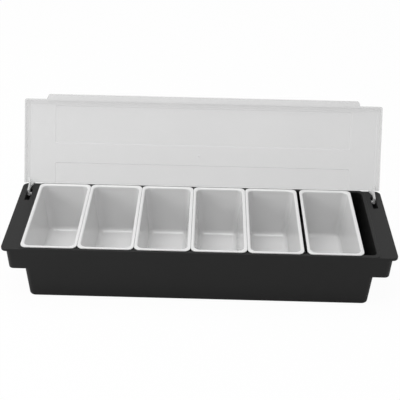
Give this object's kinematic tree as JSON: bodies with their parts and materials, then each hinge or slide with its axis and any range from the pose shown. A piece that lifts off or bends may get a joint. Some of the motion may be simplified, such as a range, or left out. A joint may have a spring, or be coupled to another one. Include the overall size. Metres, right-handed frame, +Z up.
{
  "type": "condiment caddy",
  "caption": "Long rectangular condiment caddy: tapered tray with a ledge at each end, lift-out rectangular inserts hung side by side, and one translucent hinged lid leaning back open.",
  "frame": {"origin": "centre of the tray's flat underside, where it stands on the table", "axes": "+X along the tray's length to the right seen from the front, +Y towards the hinges at the back, +Z up"},
  "size_m": [0.495, 0.2069, 0.1889],
  "materials": {
    "tray": "satin moulded black",
    "lid": "frosted translucent, lightly polished",
    "insert": "smooth moulded white"
  },
  "bodies": {
    "tray": {"tray": "tray"},
    "lid": {"lid": "lid"},
    "insert_1": {"insert_1": "insert"},
    "insert_2": {"insert_2": "insert"},
    "insert_3": {"insert_3": "insert"},
    "insert_4": {"insert_4": "insert"},
    "insert_5": {"insert_5": "insert"},
    "insert_6": {"insert_6": "insert"}
  },
  "joints": [
    {"name": "lid_hinge", "type": "hinge", "parent": "tray", "child": "lid", "pos_m": [0, 0.05615, 0.0725], "axis": [-1, 0, 0], "range_deg": [-119, 0]},
    {"name": "insert_1_lift", "type": "slide", "parent": "tray", "child": "insert_1", "axis": [0, 0, 1], "range_m": [0, 0.1]},
    {"name": "insert_2_lift", "type": "slide", "parent": "tray", "child": "insert_2", "axis": [0, 0, 1], "range_m": [0, 0.1]},
    {"name": "insert_3_lift", "type": "slide", "parent": "tray", "child": "insert_3", "axis": [0, 0, 1], "range_m": [0, 0.1]},
    {"name": "insert_4_lift", "type": "slide", "parent": "tray", "child": "insert_4", "axis": [0, 0, 1], "range_m": [0, 0.1]},
    {"name": "insert_5_lift", "type": "slide", "parent": "tray", "child": "insert_5", "axis": [0, 0, 1], "range_m": [0, 0.1]},
    {"name": "insert_6_lift", "type": "slide", "parent": "tray", "child": "insert_6", "axis": [0, 0, 1], "range_m": [0, 0.1]}
  ]
}
